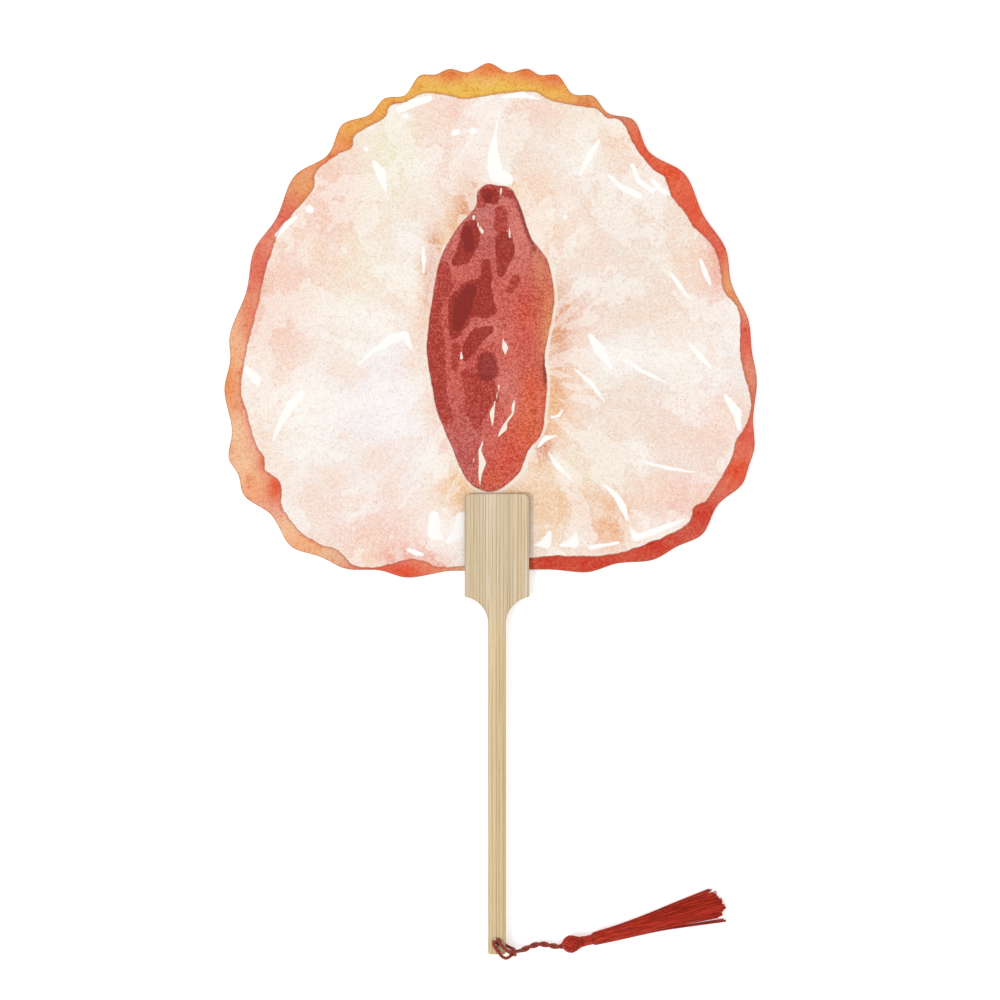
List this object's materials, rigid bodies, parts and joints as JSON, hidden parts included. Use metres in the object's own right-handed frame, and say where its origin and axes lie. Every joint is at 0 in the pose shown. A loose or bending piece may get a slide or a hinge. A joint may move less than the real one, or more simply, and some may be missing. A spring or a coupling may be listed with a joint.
{
  "type": "hand fan",
  "caption": "Rigid round hand fan: printed paper blade with a scalloped edge, glued to a flat bamboo handle with a tassel on a cord.",
  "frame": {"origin": "centre of the rear plate's back face, which the fan rests on", "axes": "+Y from the butt of the handle to the top of the blade, +Z out of the printed face, +X to the right seen from the front"},
  "size_m": [0.2286, 0.3845, 0.0074],
  "materials": {
    "bamboo": "sanded, clear satin",
    "printed_paper_front": "printed matt textured paper",
    "printed_paper_back": "printed matt textured paper",
    "core_card": "matt card",
    "red_cord": "twisted satin cord",
    "red_thread": "satin thread"
  },
  "bodies": {
    "fan": {"handle": "bamboo", "rear_clamp_plate": "bamboo", "blade_back_print": "printed_paper_back", "blade_core_card": "core_card", "blade_front_print": "printed_paper_front"},
    "hitch": {"hitch_loop": "red_cord"},
    "stem": {"cord_stem": "red_cord"},
    "tassel": {"cord_knot": "red_cord", "tassel_head": "red_thread", "neck_binding": "red_thread", "tassel_skirt": "red_thread"}
  },
  "joints": [
    {"name": "hitch_swing", "type": "hinge", "parent": "fan", "child": "hitch", "pos_m": [0, -0.1701, 0.0035], "axis": [0, 0, 1], "range_deg": [-180, 60]},
    {"name": "cord_lift", "type": "hinge", "parent": "hitch", "child": "stem", "pos_m": [0.0104, -0.1738, 0.0042], "axis": [0.2419, -0.9703, 0], "range_deg": [-75, 90]},
    {"name": "tassel_swing", "type": "hinge", "parent": "stem", "child": "tassel", "pos_m": [0.0266, -0.1722, 0.0037], "axis": [0, 0, 1], "range_deg": [-75, 75]}
  ]
}
